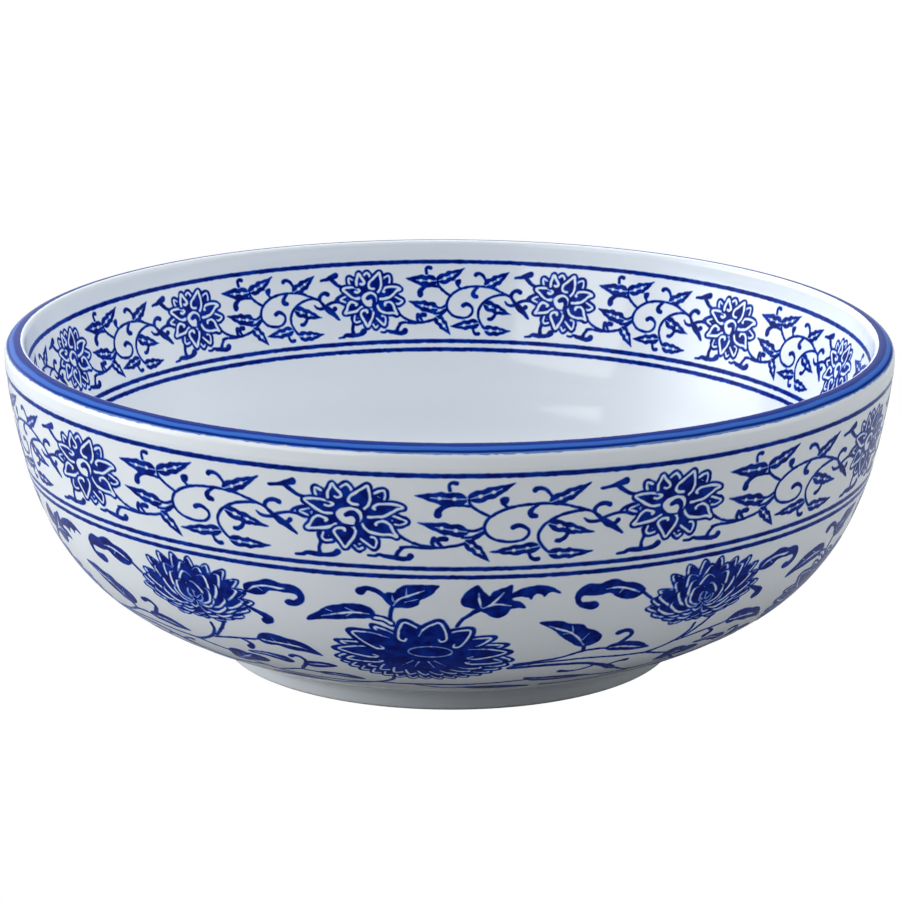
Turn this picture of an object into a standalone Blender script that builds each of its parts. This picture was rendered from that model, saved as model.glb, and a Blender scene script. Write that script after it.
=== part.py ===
"""A deep porcelain serving bowl: a curved wall and floor, a rolled lip, and a turned foot ring.

The bowl stands on the plane Z = 0 with its axis on +Z. The three pieces are the ones a potter
forms one after the other: the body, the lip that finishes its mouth, and the foot under it.
"""
import math

import bpy
from mathutils import Vector

# Driving dimensions, in metres
MOUTH_RADIUS = 0.1015
BOWL_HEIGHT = 0.0738
PIECE_GAP = 0.0003          # clearance between two pieces that rest on each other

# Lip: a rolled edge, fuller outside than inside
LIP_DEPTH = 0.0045          # from the crest down to where the lip sits on the wall
LIP_CREST_RADIUS = 0.0978
LIP_THROAT_RADIUS = 0.0968  # where the inner roll starts
LIP_SEAT_RADIUS = 0.0963    # inside, where the lip sits on the wall
LIP_OUTER_ROLL = 0.0029     # how far below the crest the mouth is widest
LIP_INNER_ROLL = 0.0017

# Foot ring
FOOT_HEIGHT = 0.0043
FOOT_OUTER_RADIUS = 0.0524
FOOT_INNER_RADIUS = 0.0468
FOOT_EDGE_ROUND = 0.0010
RECESS_HEIGHT = 0.0056      # from the table up to the underside of the floor, inside the foot
RECESS_COVE = 0.0010

# Wall curves, as shares of the mouth radius and of the bowl's height
OUTER_WALL = [(1.000, 0.939), (0.984, 0.787), (0.949, 0.581), (0.888, 0.396),
              (0.794, 0.248), (0.661, 0.137), (0.516, 0.058)]
INNER_WALL = [(0.000, 0.150), (0.500, 0.182), (0.742, 0.325), (0.835, 0.520),
              (0.885, 0.670), (0.921, 0.814), (0.949, 0.939)]

# Fineness of the turned meshes
TURN_STEPS = 72
CURVE_STEPS = 2             # points on each stretch of a wall curve
ROLL_STEPS = 5              # points on each quarter of the lip
EDGE_STEPS = 2              # points on each rounded edge of the foot
MERGE_DISTANCE = 0.00001
SMOOTH_ANGLE = math.radians(40)

PORCELAIN = {"colour": (0.80, 0.83, 0.85, 1.0), "roughness": 0.12}
COBALT = {"colour": (0.010, 0.065, 0.310, 1.0), "roughness": 0.14}


def clear_scene():
    """Start from an empty scene."""
    for scene_object in list(bpy.data.objects):
        bpy.data.objects.remove(scene_object, do_unlink=True)


def make_material(name, finish):
    """A Principled material with one colour and one roughness."""
    material = bpy.data.materials.new(name)
    material.use_nodes = True
    shader = material.node_tree.nodes["Principled BSDF"]
    shader.inputs["Base Color"].default_value = finish["colour"]
    shader.inputs["Roughness"].default_value = finish["roughness"]
    shader.inputs["Metallic"].default_value = 0.0
    return material


def wall_curve(shares):
    """A smooth curve (Catmull-Rom) through the wall's stations, in metres."""
    stations = [Vector((radius * MOUTH_RADIUS, height * BOWL_HEIGHT)) for radius, height in shares]
    before = stations[0] * 2 - stations[1]
    after = stations[-1] * 2 - stations[-2]
    ends = [before] + stations + [after]
    points = []
    for index in range(1, len(ends) - 2):
        p0, p1, p2, p3 = ends[index - 1:index + 3]
        for step in range(CURVE_STEPS):
            t = step / CURVE_STEPS
            linear = (p2 - p0) * t
            square = (p0 * 2 - p1 * 5 + p2 * 4 - p3) * t ** 2
            cube = (p1 * 3 - p0 - p2 * 3 + p3) * t ** 3
            points.append(tuple(p1 + (linear + square + cube) * 0.5))
    points.append(tuple(stations[-1]))
    return points


def quarter_ellipse(centre, half_width, half_height, start_angle, end_angle, steps):
    """Points on part of an ellipse, both ends included."""
    points = []
    for step in range(steps + 1):
        angle = start_angle + (end_angle - start_angle) * step / steps
        radius = centre[0] + half_width * math.cos(angle)
        height = centre[1] + half_height * math.sin(angle)
        points.append((radius, height))
    return points


def turned_object(name, profile, material, closed):
    """Turn a (radius, height) profile about Z with a Screw modifier."""
    vertices = [(radius, 0.0, height) for radius, height in profile]
    edges = [(index, index + 1) for index in range(len(profile) - 1)]
    if closed:
        edges.append((len(profile) - 1, 0))
    mesh = bpy.data.meshes.new(name)
    mesh.from_pydata(vertices, edges, [])
    mesh.materials.append(material)
    turned = bpy.data.objects.new(name, mesh)
    bpy.context.collection.objects.link(turned)
    screw = turned.modifiers.new("turn", "SCREW")
    screw.axis = "Z"
    screw.angle = math.tau
    screw.steps = TURN_STEPS
    screw.render_steps = TURN_STEPS
    screw.use_merge_vertices = True
    screw.merge_threshold = MERGE_DISTANCE
    screw.use_smooth_shade = True
    return turned


def bowl_body(porcelain):
    """Wall and floor: one shell, open at the top, with a shallow recess under the floor."""
    seat = BOWL_HEIGHT - LIP_DEPTH - PIECE_GAP / 2
    inside = wall_curve(INNER_WALL)
    outside = wall_curve(OUTER_WALL)
    inside[-1] = (inside[-1][0], seat)
    outside[0] = (outside[0][0], seat)
    outside[-1] = (outside[-1][0], FOOT_HEIGHT + PIECE_GAP)
    underside = [
        (FOOT_INNER_RADIUS, FOOT_HEIGHT + PIECE_GAP),
        (FOOT_INNER_RADIUS - RECESS_COVE, RECESS_HEIGHT),
        (0.0, RECESS_HEIGHT),
    ]
    return turned_object("bowl_body", inside + outside + underside, porcelain, closed=False)


def rim_lip(cobalt):
    """The rolled edge of the mouth, which carries the blue band."""
    seat = BOWL_HEIGHT - LIP_DEPTH + PIECE_GAP / 2
    inner_roll = quarter_ellipse(
        (LIP_CREST_RADIUS, BOWL_HEIGHT - LIP_INNER_ROLL),
        LIP_CREST_RADIUS - LIP_THROAT_RADIUS, LIP_INNER_ROLL,
        math.pi, math.pi / 2, ROLL_STEPS)
    outer_roll = quarter_ellipse(
        (LIP_CREST_RADIUS, BOWL_HEIGHT - LIP_OUTER_ROLL),
        MOUTH_RADIUS - LIP_CREST_RADIUS, LIP_OUTER_ROLL,
        math.pi / 2, 0.0, ROLL_STEPS)
    profile = [(LIP_SEAT_RADIUS, seat)] + inner_roll + outer_roll[1:] + [(MOUTH_RADIUS, seat)]
    return turned_object("rim_lip", profile, cobalt, closed=True)


def foot_ring(porcelain):
    """The ring the bowl stands on, flat under its middle and rounded at both lower edges."""
    edge = FOOT_EDGE_ROUND
    outer_edge = quarter_ellipse((FOOT_OUTER_RADIUS - edge, edge), edge, edge,
                                 0.0, -math.pi / 2, EDGE_STEPS)
    inner_edge = quarter_ellipse((FOOT_INNER_RADIUS + edge, edge), edge, edge,
                                 -math.pi / 2, -math.pi, EDGE_STEPS)
    top = [(FOOT_INNER_RADIUS, FOOT_HEIGHT), (FOOT_OUTER_RADIUS, FOOT_HEIGHT)]
    return turned_object("foot_ring", top + outer_edge + inner_edge, porcelain, closed=True)


def build():
    """Model the whole bowl."""
    clear_scene()
    porcelain = make_material("porcelain", PORCELAIN)
    cobalt = make_material("cobalt", COBALT)
    bowl_body(porcelain)
    rim_lip(cobalt)
    foot_ring(porcelain)


build()
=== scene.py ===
# %% [markdown]
# # A porcelain serving bowl, printed in cobalt blue
# The real bowl is one piece of fired porcelain. A potter jiggers the wall and floor, rolls the lip
# and turns the foot. A decorator then lays printed sheets on it: ring lines, a border scroll with
# nine flowers outside and twelve inside, and a wide field of lotus and peony. Clear glaze covers all.
# We follow the same order here. First we turn the porcelain, then we draw each sheet flat and lay it
# on the wall as a thin film, and last we set the table, the lamps and the camera.

# %% Load the frame
import math

import bpy
import numpy as np
from mathutils import Matrix, Vector
from mathutils.geometry import delaunay_2d_cdt


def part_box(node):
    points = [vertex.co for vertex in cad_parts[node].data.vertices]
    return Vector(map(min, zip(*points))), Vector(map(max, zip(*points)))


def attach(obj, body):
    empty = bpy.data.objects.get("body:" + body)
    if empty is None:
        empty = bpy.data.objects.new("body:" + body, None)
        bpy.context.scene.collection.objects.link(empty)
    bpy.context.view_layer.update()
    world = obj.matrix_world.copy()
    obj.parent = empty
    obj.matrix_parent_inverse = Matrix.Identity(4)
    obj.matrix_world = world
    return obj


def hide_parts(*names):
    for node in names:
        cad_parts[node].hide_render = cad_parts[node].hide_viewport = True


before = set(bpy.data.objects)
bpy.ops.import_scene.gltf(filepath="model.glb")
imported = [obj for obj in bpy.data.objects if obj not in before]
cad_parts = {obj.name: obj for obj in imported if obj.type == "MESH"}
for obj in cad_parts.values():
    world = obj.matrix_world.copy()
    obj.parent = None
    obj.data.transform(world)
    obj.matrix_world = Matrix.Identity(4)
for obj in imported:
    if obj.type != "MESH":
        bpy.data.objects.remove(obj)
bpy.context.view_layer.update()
MM = 0.001

# %% [markdown]
# ## The bowl's measures
# Everything hangs on two measures of the frame: the mouth's radius and the height of the crest.
# The wall's curve is given by a few stations, as shares of those two, and a Catmull-Rom line joins
# them. A Catmull-Rom line passes through every point that it is given, which is what a potter's
# template does too, so it suits a profile better than a Bezier with handles off the curve.

# %% Measures taken from the frame
lip_low, lip_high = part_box("rim_lip")
foot_low, foot_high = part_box("foot_ring")
body_low, body_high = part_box("bowl_body")
mouth_radius = lip_high[0]
crest_height = lip_high[2]
foot_radius = foot_high[0]
foot_top = (foot_high[2] + body_low[2]) / 2
lip_seat = (lip_low[2] + body_high[2]) / 2
print(f"mouth {mouth_radius * 2 / MM:.1f} mm across, {crest_height / MM:.1f} mm high")


# %% A smooth line through points
def smooth(points, steps=8, closed=False):
    """Points on a Catmull-Rom line; extra columns, such as a brush width, are smoothed too."""
    p = np.array(points, float)
    if closed:
        ends = np.vstack([p[-1:], p, p[:2]])
    else:
        ends = np.vstack([2 * p[:1] - p[1:2], p, 2 * p[-1:] - p[-2:-1]])
    t = np.linspace(0, 1, steps, endpoint=False)[:, None]
    line = []
    for a, b, c, d in zip(ends, ends[1:], ends[2:], ends[3:]):
        square = (2 * a - 5 * b + 4 * c - d) * t ** 2
        cube = (3 * b - a - 3 * c + d) * t ** 3
        line.append(0.5 * (2 * b + (c - a) * t + square + cube))
    if not closed:
        line.append(p[-1:])
    return np.vstack(line)


# %% The wall's two curves, from the lip down
OUTER_WALL = [(1.000, 0.939), (0.984, 0.787), (0.949, 0.581), (0.888, 0.396),
              (0.794, 0.248), (0.661, 0.137), (0.516, 0.058)]
INNER_WALL = [(0.949, 0.939), (0.921, 0.814), (0.885, 0.670), (0.835, 0.520),
              (0.742, 0.325), (0.500, 0.182), (0.000, 0.150)]
WALL_STEPS = 14


def wall_path(shares, lowest):
    """Radius and height along one side of the wall, in metres, ending at a known height."""
    path = smooth(shares, WALL_STEPS) * [mouth_radius, crest_height]
    path[0, 1] = lip_seat
    path[-1, 1] = lowest
    return path


outer_path = wall_path(OUTER_WALL, foot_top)
inner_path = wall_path(INNER_WALL, INNER_WALL[-1][1] * crest_height)
print("wall paths:", len(outer_path), "and", len(inner_path), "points")

# %% [markdown]
# ## Turning the porcelain
# A round pot is a profile spun about its axis. We could leave a Screw modifier on it, but we want
# neat quads, poles that close, and the same helper for every ring, so we write the vertices with
# numpy: one row of points for each step of the turn.


# %% Turn a profile
TURN_STEPS = 432
SHARP_EDGE = math.radians(35)


def make_piece(name, points, faces, material):
    """A smooth-shaded mesh object in the scene."""
    mesh = bpy.data.meshes.new(name)
    mesh.from_pydata(points.tolist(), [], faces)
    mesh.shade_smooth()
    mesh.set_sharp_from_angle(angle=SHARP_EDGE)
    mesh.materials.append(material)
    piece = bpy.data.objects.new(name, mesh)
    bpy.context.collection.objects.link(piece)
    return piece


def turned_piece(name, profile, material, steps=TURN_STEPS):
    """Spin a (radius, height) profile. Points on the axis become a single pole."""
    points, rows, faces = [], [], []
    turns = np.linspace(0, math.tau, steps, endpoint=False)
    for radius, height in profile:
        start = len(points)
        if radius < 1e-9:
            points.append((0.0, 0.0, height))
            rows.append([start] * steps)
        else:
            points.extend(zip(radius * np.cos(turns), radius * np.sin(turns), [height] * steps))
            rows.append(list(range(start, start + steps)))
    pairs = list(zip(rows, rows[1:]))
    if profile[0][0] > 1e-9:
        pairs.append((rows[-1], rows[0]))
    for upper, lower in pairs:
        for k in range(steps):
            n = (k + 1) % steps
            face = dict.fromkeys([upper[k], lower[k], lower[n], upper[n]])
            if len(face) > 2:
                faces.append(tuple(face))
    return make_piece(name, np.array(points), faces, material)


# %% [markdown]
# ## Finishes
# Porcelain is a white, slightly cool body under clear glaze. The glaze is never perfectly even: it
# carries a faint orange peel, tiny pinholes and a slight change of tone. Cobalt gathers thickly in
# The lip's blue is also striped by height, with a painted highlight along its roll.
# We use object coordinates and noise, which need no unwrapping and no image.
# We use object coordinates and noise, which need no unwrapping and no image.


# %% Porcelain and its glaze
def new_finish(name, colour, roughness):
    """A glossy Principled material; returns the material, its nodes, its links and its shader."""
    material = bpy.data.materials.new(name)
    material.use_nodes = True
    nodes, links = material.node_tree.nodes, material.node_tree.links
    shader = nodes["Principled BSDF"]
    shader.inputs["Base Color"].default_value = (*colour, 1.0)
    shader.inputs["Roughness"].default_value = roughness
    shader.inputs["IOR"].default_value = 1.5
    return material, nodes, links, shader


def noise_field(nodes, links, scale, detail):
    """Noise over the object's own coordinates."""
    place = nodes.new("ShaderNodeTexCoord")
    noise = nodes.new("ShaderNodeTexNoise")
    noise.inputs["Scale"].default_value = scale
    noise.inputs["Detail"].default_value = detail
    links.new(place.outputs["Object"], noise.inputs["Vector"])
    return noise.outputs["Fac"]


def colour_ramp(nodes, links, factor, stops):
    """Colours along a factor; stops are (position, colour)."""
    ramp = nodes.new("ShaderNodeValToRGB")
    while len(ramp.color_ramp.elements) < len(stops):
        ramp.color_ramp.elements.new(0.5)
    for element, (position, colour) in zip(ramp.color_ramp.elements, stops):
        element.position = position
        element.color = (*colour, 1.0)
    links.new(factor, ramp.inputs["Fac"])
    return ramp.outputs["Color"]


def orange_peel(nodes, links, shader, scale, height):
    """The faint waviness of a poured glaze."""
    bump = nodes.new("ShaderNodeBump")
    bump.inputs["Strength"].default_value = 0.35
    bump.inputs["Distance"].default_value = height
    links.new(noise_field(nodes, links, scale, 2.0), bump.inputs["Height"])
    links.new(bump.outputs["Normal"], shader.inputs["Normal"])


GLAZE_RIPPLE = (160.0, 0.06 * MM)  # how close and how high the waves of the glaze are


def porcelain_finish():
    material, nodes, links, shader = new_finish("porcelain_glaze", (0.81, 0.85, 0.89), 0.08)
    tone = noise_field(nodes, links, 18.0, 3.0)
    colour = colour_ramp(nodes, links, tone, [(0.3, (0.80, 0.842, 0.885)), (0.7, (0.825, 0.86, 0.895))])
    links.new(colour, shader.inputs["Base Color"])
    orange_peel(nodes, links, shader, *GLAZE_RIPPLE)
    return material


def cobalt_finish(name, deep, bright):
    material, nodes, links, shader = new_finish(name, deep, 0.14)
    shader.inputs["Specular IOR Level"].default_value = 0.05
    pooling = noise_field(nodes, links, 420.0, 4.0)
    colour = colour_ramp(nodes, links, pooling, [(0.40, deep), (0.66, bright)])
    links.new(colour, shader.inputs["Base Color"])
    orange_peel(nodes, links, shader, *GLAZE_RIPPLE)
    return material


def lip_band_cobalt_and_sheen():
    """The lip's blue, striped by height: dark at the crest, a painted highlight along the roll's shoulder
    (partly cobalt running thin there), dark below it, and a pale lowest edge that is partly painted
    reflection.
    """
    material, nodes, links, shader = new_finish("lip_cobalt_and_sheen", (0.012, 0.05, 0.25), 0.16)
    shader.inputs["Specular IOR Level"].default_value = 0.02
    place = nodes.new("ShaderNodeTexCoord")
    split = nodes.new("ShaderNodeSeparateXYZ")
    links.new(place.outputs["Object"], split.inputs["Vector"])
    fall = nodes.new("ShaderNodeMapRange")
    fall.inputs["From Min"].default_value = crest_height - 1.4 * MM
    fall.inputs["From Max"].default_value = crest_height
    fall.inputs["To Min"].default_value = -0.10
    fall.inputs["To Max"].default_value = 0.90
    links.new(split.outputs["Z"], fall.inputs["Value"])
    wander = nodes.new("ShaderNodeMath")
    wander.operation = "MULTIPLY_ADD"
    links.new(noise_field(nodes, links, 90.0, 3.0), wander.inputs[0])
    wander.inputs[1].default_value = 0.20
    links.new(fall.outputs["Result"], wander.inputs[2])
    # bright paints a highlight on the roll's shoulder in place of the glaze's own reflection, which is set
    # almost to nothing above; the pale first stop paints a reflection at the band's thin lowest edge
    dark, bright = (0.003, 0.022, 0.21), (0.035, 0.13, 0.50)
    colour = colour_ramp(nodes, links, wander.outputs["Value"],
                         [(0.04, (0.16, 0.26, 0.50)), (0.12, (0.02, 0.07, 0.27)), (0.20, dark), (0.34, dark),
                          (0.50, bright), (0.74, bright), (0.86, dark)])
    links.new(colour, shader.inputs["Base Color"])
    orange_peel(nodes, links, shader, *GLAZE_RIPPLE)
    return material


def biscuit_finish():
    material, nodes, links, shader = new_finish("bare_porcelain", (0.62, 0.60, 0.56), 0.65)
    grit = noise_field(nodes, links, 900.0, 3.0)
    links.new(colour_ramp(nodes, links, grit, [(0.35, (0.50, 0.47, 0.43)), (0.6, (0.66, 0.64, 0.60))]),
              shader.inputs["Base Color"])
    orange_peel(nodes, links, shader, 700.0, 0.00008)
    return material


porcelain = porcelain_finish()
biscuit = biscuit_finish()
cobalt = cobalt_finish("cobalt_print", (0.0006, 0.006, 0.14), (0.0015, 0.028, 0.32))
cobalt_bleed = cobalt_finish("cobalt_bleed", (0.13, 0.25, 0.70), (0.24, 0.38, 0.80))
lip_cobalt_and_sheen = lip_band_cobalt_and_sheen()
print("finishes:", [m.name for m in (porcelain, biscuit, cobalt, cobalt_bleed, lip_cobalt_and_sheen)])

# %% [markdown]
# ## The body, the lip and the foot
# The body's profile starts at the middle of the floor, climbs the inside, crosses the seat of the
# lip and comes down outside. The lip is a rolled edge, fuller outside than inside, so it is two
# quarter ellipses. The foot ring flares into the wall with the small fillet of glaze that gathers
# there, and it stands on a dry, unglazed edge.


# %% Body
def quarter(centre, half_width, half_height, start, end, steps=14):
    """Part of an ellipse, both ends included, as (radius, height)."""
    turn = np.radians(np.linspace(start, end, steps + 1))
    return np.column_stack([centre[0] + half_width * np.cos(turn),
                            centre[1] + half_height * np.sin(turn)])


RECESS_HEIGHT = 5.6 * MM
FOOT_INNER_RADIUS = 46.8 * MM
cove = quarter((FOOT_INNER_RADIUS - 1.2 * MM, RECESS_HEIGHT - 1.2 * MM),
               1.2 * MM, 1.2 * MM, 0, 90, 6)
body_profile = np.vstack([inner_path[::-1], outer_path, cove, [(0.0, RECESS_HEIGHT)]])
glazed_body = turned_piece("glazed_body", body_profile, porcelain)
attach(glazed_body, "root")
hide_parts("bowl_body")

# %% Lip
CREST_RADIUS = 97.8 * MM
THROAT_RADIUS = 96.8 * MM
inner_roll = quarter((CREST_RADIUS, crest_height - 1.7 * MM), CREST_RADIUS - THROAT_RADIUS,
                     1.7 * MM, 180, 90)
outer_roll = quarter((CREST_RADIUS, crest_height - 2.9 * MM), mouth_radius - CREST_RADIUS,
                     2.9 * MM, 90, 0)
lip_profile = np.vstack([[(inner_path[0][0], lip_seat)], inner_roll, outer_roll[1:],
                         [(mouth_radius, lip_seat)]])
rolled_lip = turned_piece("rolled_lip", lip_profile, porcelain)
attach(rolled_lip, "root")
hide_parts("rim_lip")

# %% Foot ring
EDGE = 1.0 * MM
DRY_EDGE = 0.6 * MM        # below this height the foot is wiped clean of glaze
foot_profile = np.vstack([
    [(FOOT_INNER_RADIUS, foot_top), (foot_radius, foot_top)],
    quarter((foot_radius - EDGE, EDGE), EDGE, EDGE, 0, -90, 6),
    quarter((FOOT_INNER_RADIUS + EDGE, EDGE), EDGE, EDGE, -90, -180, 6),
])
turned_foot = turned_piece("turned_foot", foot_profile, porcelain)
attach(turned_foot, "root")
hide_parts("foot_ring")
turned_foot.data.materials.append(biscuit)
for face in turned_foot.data.polygons:
    if face.center.z < DRY_EDGE:
        face.material_index = 1

# %% The glaze that gathers where the foot meets the wall
fillet_reach = foot_radius + 4.2 * MM
fillet_top = (fillet_reach, np.interp(fillet_reach, outer_path[::-1, 0], outer_path[::-1, 1]))
fillet_foot = (foot_radius, foot_top - 2.4 * MM)
crease = (foot_radius - 0.2 * MM, foot_top + 0.1 * MM)
share = np.linspace(0, 1, 13)[:, None]
sweep = (np.array(fillet_top) * (1 - share) ** 2 + 2 * np.array(crease) * share * (1 - share)
         + np.array(fillet_foot) * share ** 2)
inward = [(foot_radius - 0.5 * MM, foot_top - 2.4 * MM), (foot_radius - 0.5 * MM, foot_top + 0.6 * MM),
          (fillet_reach, fillet_top[1] + 0.4 * MM)]
glaze_fillet = turned_piece("glaze_fillet", np.vstack([sweep, inward]), porcelain)
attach(glaze_fillet, "root")
print("turned", [len(o.data.polygons) for o in (glazed_body, rolled_lip, turned_foot, glaze_fillet)],
      "faces")

# %% [markdown]
# ## Drawing a printed sheet
# A sheet is a flat grid of small cells. Each cell holds a distance in millimetres: positive inside
# the ink, negative outside. A brush mark raises the cells that it covers, and a scraped line lowers
# them, so marks melt into each other as wet ink does. An image would be simpler to paint, but it
# would stay flat paint; the distances give us outlines that we can cut out as real film.
# Places are in the sheet's own units, widths are in millimetres.


# %% The sheet
CELL = 0.12                # mm
FAR = -9.0                 # the distance of a cell that nothing has touched
REACH = 1.5                # mm around a mark in which distances are kept
BRUSH_STEPS = 8            # points on each stretch of a brush mark
OUTLINE_STEPS = 5          # points on each stretch of a filled outline


class Sheet:
    """One repeat of a printed band. It wraps round, so marks may cross its left and right edges."""

    def __init__(self, width, height, unit, origin=(0, 0)):
        self.columns = round(width / CELL)
        self.rows = round(height / CELL)
        self.width, self.height = width, height
        self.cell = (width / self.columns, height / self.rows)
        self.unit, self.origin = np.array(unit, float), np.array(origin, float)
        self.ink = np.full((self.rows, self.columns), FAR)

    def flat(self, points):
        """The drawing's own places, in mm on the sheet."""
        return (np.array(points, float) - self.origin) * self.unit

    def window(self, marks):
        """The cells near some points: their rows, wrapped columns, and places in mm."""
        low = marks.min(0) - REACH
        high = marks.max(0) + REACH
        cols = np.arange(int(low[0] // self.cell[0]), int(high[0] // self.cell[0]) + 1)
        rows = np.arange(max(int(low[1] // self.cell[1]), 0),
                         min(int(high[1] // self.cell[1]) + 1, self.rows))
        x, y = np.meshgrid((cols + 0.5) * self.cell[0], (rows + 0.5) * self.cell[1])
        return np.ix_(rows, cols % self.columns), x, y

    def brush(self, points, width, lift=False):
        """A smooth brush mark. width is one half-width in mm, or one for each point."""
        widths = np.resize(np.array(width, float), len(points))
        self.brush_flat(np.column_stack([self.flat(points), widths]), lift)

    def brush_flat(self, points, lift=False):
        """A brush mark through rows of x, y and half-width, all in mm."""
        marks = smooth(points, BRUSH_STEPS)
        cells, x, y = self.window(marks[:, :2])
        inside = np.full(x.shape, FAR)
        for (x0, y0, w0), (x1, y1, w1) in zip(marks, marks[1:]):
            dx, dy = x1 - x0, y1 - y0
            t = np.clip(((x - x0) * dx + (y - y0) * dy) / (dx * dx + dy * dy + 1e-9), 0, 1)
            gap = w0 + (w1 - w0) * t - np.hypot(x - x0 - t * dx, y - y0 - t * dy)
            np.maximum(inside, gap, out=inside)
        self.apply(cells, inside, lift)

    def fill(self, points, lift=False, grow=0.0):
        """A filled shape with a smooth outline, grown or shrunk by a few tenths of a mm."""
        self.fill_flat(self.flat(points), lift, grow)

    def petal(self, tip, base, half_width, ribbon, outline, lean):
        """A pointed petal: a dark outline, a pale ribbon inside it and a dark heart to one side."""
        tip, base = self.flat([tip, base])
        along = tip - base
        across = np.array([-along[1], along[0]]) / np.hypot(*along) * half_width
        shape = np.array([base + along * at + across * side for at, side in
                          [(0, -0.6), (0.45, -1), (0.8, -0.6), (1, 0), (0.8, 0.6), (0.45, 1), (0, 0.6)]])
        self.fill_flat(shape, grow=outline)
        self.fill_flat(shape, lift=True)
        self.fill_flat(shape + across * lean - along * 0.04, grow=-ribbon)

    def scraped_petal(self, tip, base, half_width, side=1):
        """A dark petal with a pale line scraped inside its edge, hooked where the petal turns over."""
        tip, base = self.flat([tip, base])
        along = tip - base
        across = np.array([-along[1], along[0]]) / np.hypot(*along) * half_width * side
        shape = np.array([base + along * at + across * off for at, off in
                          [(0, -0.7), (0.45, -1), (0.8, -0.6), (1, 0), (0.8, 0.6), (0.45, 1), (0, 0.7)]])
        self.fill_flat(shape, grow=0.30)
        scrape = [(0.36, -0.74, 0.16), (0.60, -0.66, 0.28), (0.78, -0.38, 0.34), (0.91, 0, 0.34),
                  (0.78, 0.38, 0.34), (0.60, 0.66, 0.34), (0.44, 0.78, 0.34), (0.35, 0.56, 0.32),
                  (0.42, 0.36, 0.24)]
        self.brush_flat(np.array([(*(base + along * at + across * off), width)
                                  for at, off, width in scrape]), lift=True)

    def leaf(self, base, tip, half_width, bend=0.0):
        """A leaf with a scalloped edge and two pale spots on its midrib."""
        base, tip = self.flat([base, tip])
        along = tip - base
        across = np.array([-along[1], along[0]]) / np.hypot(*along)
        edge = [(0, 0.35), (0.1, 0.9), (0.22, 1.0), (0.34, 0.82), (0.46, 0.98), (0.6, 0.66), (0.7, 0.56),
                (0.84, 0.24)]
        line = [(at, side * half_width) for at, side in edge]
        line += [(1, 0)] + [(at + 0.03, -side * half_width) for at, side in edge[::-1]]
        shape = [base + along * at + across * (side + bend * at * (1 - at) * 4) for at, side in line]
        self.fill_flat(np.array(shape))
        rib = [base + along * at + across * (bend * at * (1 - at) * 4) for at in (0.02, 0.24, 0.52, 0.7)]
        self.brush_flat(np.column_stack([rib, [0.16, 0.20, 0.20, 0.10]]), lift=True)
        for at, size in ((0.24, 0.50), (0.52, 0.46)):
            spot = base + along * at + across * (bend * at * (1 - at) * 4)
            spoke = along / np.hypot(*along) * size * 1.1
            lozenge = [(*(spot - spoke), 0.1), (*spot, size), (*(spot + spoke), 0.1)]
            self.brush_flat(np.array(lozenge), lift=True)

    def fill_flat(self, points, lift=False, grow=0.0):
        """Fill a shape that is given in mm."""
        marks = smooth(points, OUTLINE_STEPS, closed=True)
        cells, x, y = self.window(marks)
        gap = np.full(x.shape, -FAR)
        odd = np.zeros(x.shape, bool)
        for (x0, y0), (x1, y1) in zip(marks, np.roll(marks, -1, 0)):
            dx, dy = x1 - x0, y1 - y0
            t = np.clip(((x - x0) * dx + (y - y0) * dy) / (dx * dx + dy * dy + 1e-9), 0, 1)
            np.minimum(gap, np.hypot(x - x0 - t * dx, y - y0 - t * dy), out=gap)
            crosses = (y0 > y) != (y1 > y)
            if dy:
                odd ^= crosses & (x < x0 + (y - y0) * dx / dy)
        self.apply(cells, np.where(odd, gap, -gap) + grow, lift)

    def apply(self, cells, inside, lift):
        """Add ink, or lift it off."""
        if lift:
            self.ink[cells] = np.minimum(self.ink[cells], -inside)
        else:
            self.ink[cells] = np.maximum(self.ink[cells], inside)


# %% [markdown]
# ## The border scroll
# One repeat runs from one flower to the next. Along it x goes from 0 to 100 with the flower at 0,
# and up the band y goes from 0 at the double line to 100 at the single line. The same drawing
# serves the outer border and the inner one, whose repeat is shorter.


# %% The border's flower
FLOWER_RIBBONS = [
    [(-5.5, 56.5), (-8, 56.5), (-10, 59.5), (-12, 64), (-13.8, 68.5), (-12, 70.5), (-9, 70.5),
     (-6.5, 69), (-5, 66.5), (-6.2, 64), (-7.5, 65)],
    [(-4.5, 45.5), (-7, 41), (-10, 39.5), (-13.6, 38.5), (-12.5, 43), (-11.5, 49), (-10, 52.5),
     (-8.4, 51.5), (-7, 49.5), (-7.6, 48)],
    [(0.5, 44), (1.5, 40), (1, 33), (-0.5, 26), (-2, 20.5), (-3.2, 26), (-4.5, 32), (-5.2, 37),
     (-4.2, 40.5), (-2.2, 41), (-1.8, 38.5)],
    [(3.5, 48), (4.5, 42), (6, 38.5), (9, 36.5), (12, 36.5), (14, 34.5), (13, 40), (12, 47),
     (10.5, 50.5), (9, 50.5), (7.8, 48.5), (7.8, 46.5)],
    [(5.5, 54.5), (8, 55), (10.5, 56.5), (12.5, 60.5), (14.5, 64.5), (16, 66), (14, 69),
     (11, 69.5), (8.5, 68.5), (7, 65), (7.6, 63.5)],
    [(4.5, 63.5), (5.8, 68), (6.3, 75), (6, 82), (5.6, 87.5), (4, 84.5), (2, 80), (0.3, 76),
     (-0.2, 71), (0.8, 68), (2.5, 67.5)],
    [(-6.5, 73), (-6.5, 78), (-5.8, 83), (-5, 87.5), (-4, 83), (-2.8, 79), (-2.4, 75.5),
     (-3.5, 73.5), (-4.4, 74.5)],
]
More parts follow.
